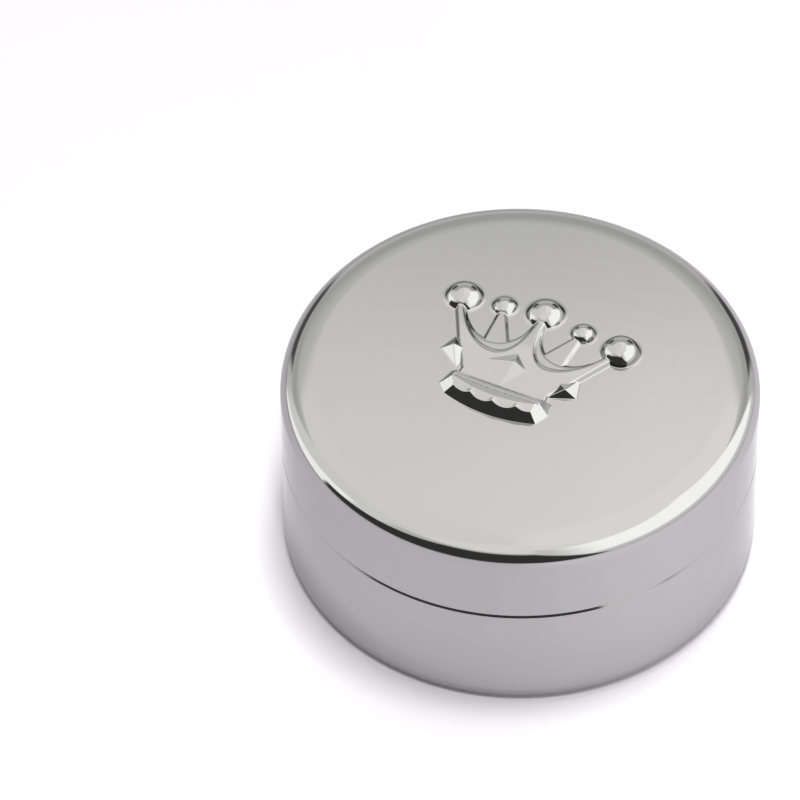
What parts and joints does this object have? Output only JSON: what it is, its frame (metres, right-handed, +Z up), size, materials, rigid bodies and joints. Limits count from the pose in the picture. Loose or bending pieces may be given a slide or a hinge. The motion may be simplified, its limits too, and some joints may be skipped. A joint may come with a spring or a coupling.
{
  "type": "round keepsake box",
  "caption": "Low round box in polished silver-coloured plate with a lift-off lid, a coronet in relief on the lid and a velvet-lined inside",
  "frame": {"origin": "centre of the underside of the felt foot, on the table", "axes": "+Z is up through the middle of the lid; +Y is the way the coronet's points run; +X is to the right of someone who sees the coronet upright"},
  "size_m": [0.075, 0.075, 0.0381],
  "materials": {
    "plate": "mirror-polished silver-coloured plate on zinc alloy",
    "velvet": "short-pile velvet over thin padding",
    "card": "plain grey-brown board",
    "felt": "pressed wool felt"
  },
  "bodies": {
    "base": {"base_shell": "plate", "base_felt": "felt", "neck_ring": "plate", "wall_lining": "velvet", "floor_board": "card", "floor_pad": "velvet"},
    "lid": {"lid_shell": "plate", "lid_board": "card", "lid_pad": "velvet"}
  },
  "joints": [
    {"name": "lid_lift", "type": "slide", "parent": "base", "child": "lid", "axis": [0, 0, 1], "range_m": [0, 0.03]}
  ]
}
